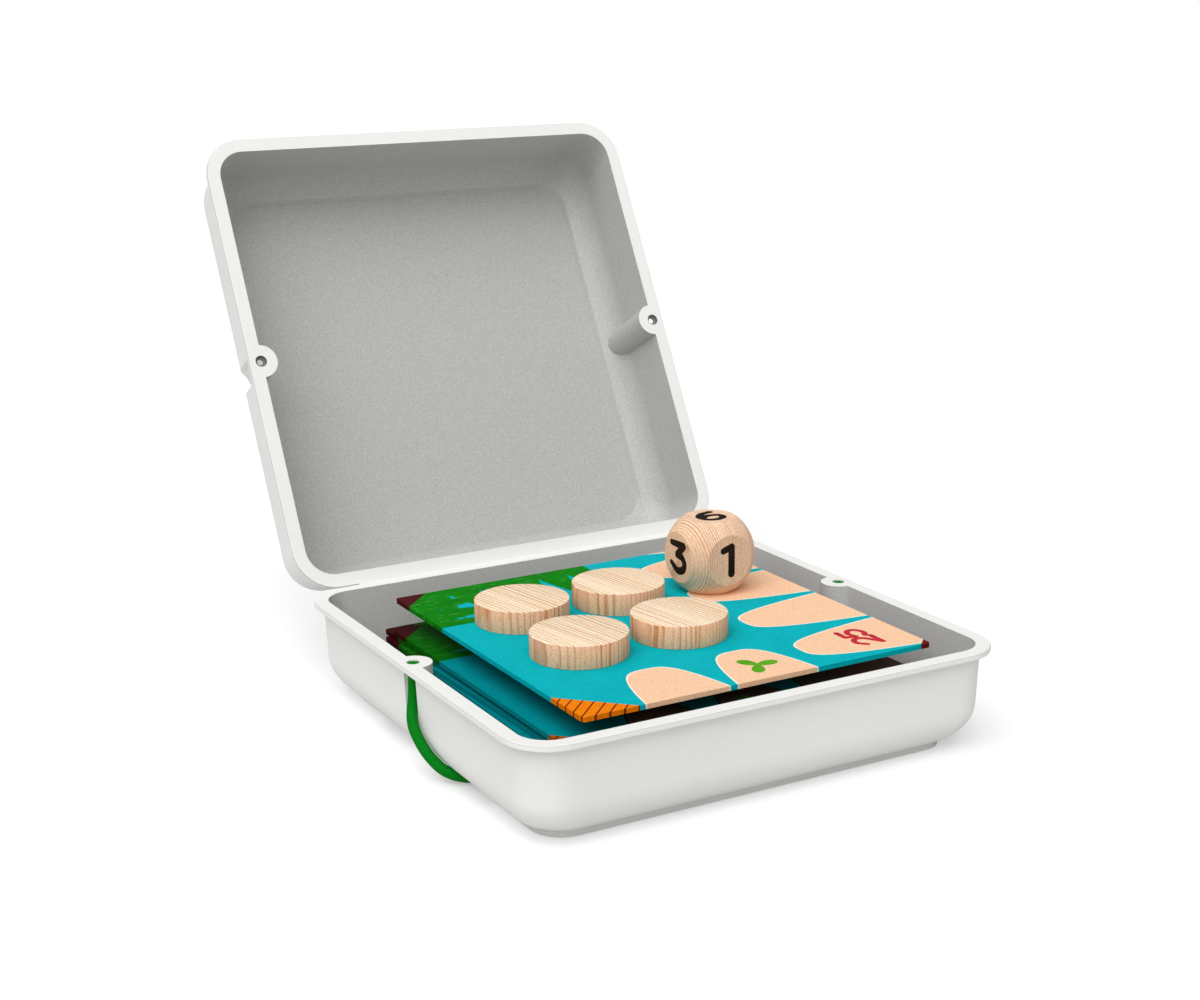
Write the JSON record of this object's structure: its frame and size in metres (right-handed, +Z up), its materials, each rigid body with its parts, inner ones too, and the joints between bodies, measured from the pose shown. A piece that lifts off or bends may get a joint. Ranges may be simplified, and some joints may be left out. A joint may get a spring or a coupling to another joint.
{
  "type": "hinged game case",
  "caption": "Open hinged square plastic travel case holding a pile of printed boards, flat wooden discs and a numbered wooden die, with a round elastic strap on its base.",
  "frame": {"origin": "middle of the base's underside, on the plane that the case stands on", "axes": "+Z up, +X to the right as seen from the front, +Y towards the hinge at the back"},
  "size_m": [0.1346, 0.2167, 0.1443],
  "materials": {
    "case_plastic": "satin",
    "strap_elastic": "matte",
    "printed_board": "printed card",
    "disc_wood": "bare",
    "die_wood": "bare, burnt numerals"
  },
  "bodies": {
    "base": {"base_tray": "case_plastic", "film_hinge": "case_plastic", "strap_cord": "strap_elastic", "strap_end_left": "strap_elastic", "strap_end_right": "strap_elastic"},
    "lid": {"lid_shell": "case_plastic"},
    "pile": {"board_01": "printed_board", "board_02": "printed_board", "board_03": "printed_board", "board_04": "printed_board", "board_05": "printed_board", "board_06": "printed_board", "board_07": "printed_board", "board_08": "printed_board", "board_09": "printed_board", "board_10": "printed_board", "board_11": "printed_board", "board_12": "printed_board", "stored_disc_back_left": "disc_wood", "stored_disc_back_right": "disc_wood", "stored_disc_front_left": "disc_wood", "stored_disc_front_right": "disc_wood"},
    "play_board": {"top_board": "printed_board"},
    "disc_back_left_piece": {"disc_back_left": "disc_wood"},
    "disc_back_right_piece": {"disc_back_right": "disc_wood"},
    "disc_front_left_piece": {"disc_front_left": "disc_wood"},
    "disc_front_right_piece": {"disc_front_right": "disc_wood"},
    "die_piece": {"die": "die_wood"}
  },
  "joints": [
    {"name": "lid_hinge", "type": "hinge", "parent": "base", "child": "lid", "pos_m": [0, 0.067, 0.0267], "axis": [-1, 0, 0], "range_deg": [-118.5, 60], "deforming": ["film_hinge"]},
    {"name": "pile_lift", "type": "slide", "parent": "base", "child": "pile", "axis": [0, 0, 1], "range_m": [0, 0.022]},
    {"name": "top_board_lift", "type": "slide", "parent": "pile", "child": "play_board", "axis": [0, 0, 1], "range_m": [0, 0.02]},
    {"name": "disc_back_left_lift", "type": "slide", "parent": "play_board", "child": "disc_back_left_piece", "axis": [0, 0, 1], "range_m": [0, 0.02]},
    {"name": "disc_back_right_lift", "type": "slide", "parent": "play_board", "child": "disc_back_right_piece", "axis": [0, 0, 1], "range_m": [0, 0.02]},
    {"name": "disc_front_left_lift", "type": "slide", "parent": "play_board", "child": "disc_front_left_piece", "axis": [0, 0, 1], "range_m": [0, 0.02]},
    {"name": "disc_front_right_lift", "type": "slide", "parent": "play_board", "child": "disc_front_right_piece", "axis": [0, 0, 1], "range_m": [0, 0.02]},
    {"name": "die_lift", "type": "slide", "parent": "play_board", "child": "die_piece", "axis": [0, 0, 1], "range_m": [0, 0.02]}
  ]
}
